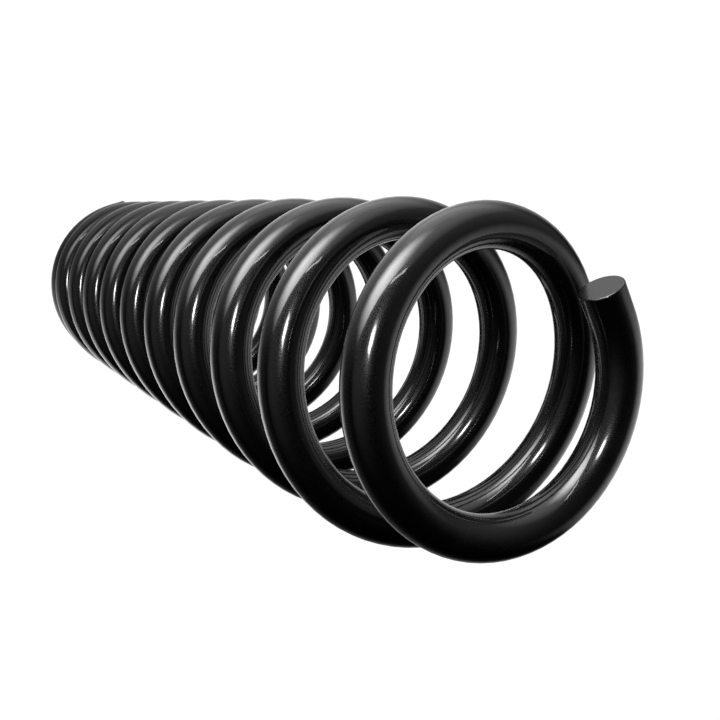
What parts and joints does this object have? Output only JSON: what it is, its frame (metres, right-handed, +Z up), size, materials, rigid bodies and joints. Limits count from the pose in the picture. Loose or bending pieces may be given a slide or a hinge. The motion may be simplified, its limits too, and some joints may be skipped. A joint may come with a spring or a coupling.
{
  "type": "helical compression spring",
  "caption": "Open-coil helical compression spring of heavy round bar, one end closed and level, the other drawn in, with plain cut tips and a gloss black coat.",
  "frame": {"origin": "on the coil axis, at the underside of the closed lower end, which is the bottom centre of the overall box", "axes": "+Z up the coil axis from the closed end to the drawn-in end, +X to the right and +Y away when seen from the front"},
  "size_m": [0.1142, 0.1142, 0.4098],
  "materials": {
    "black_coat": "gloss"
  },
  "bodies": {
    "root": {"coil_spring": "black_coat"}
  },
  "joints": []
}
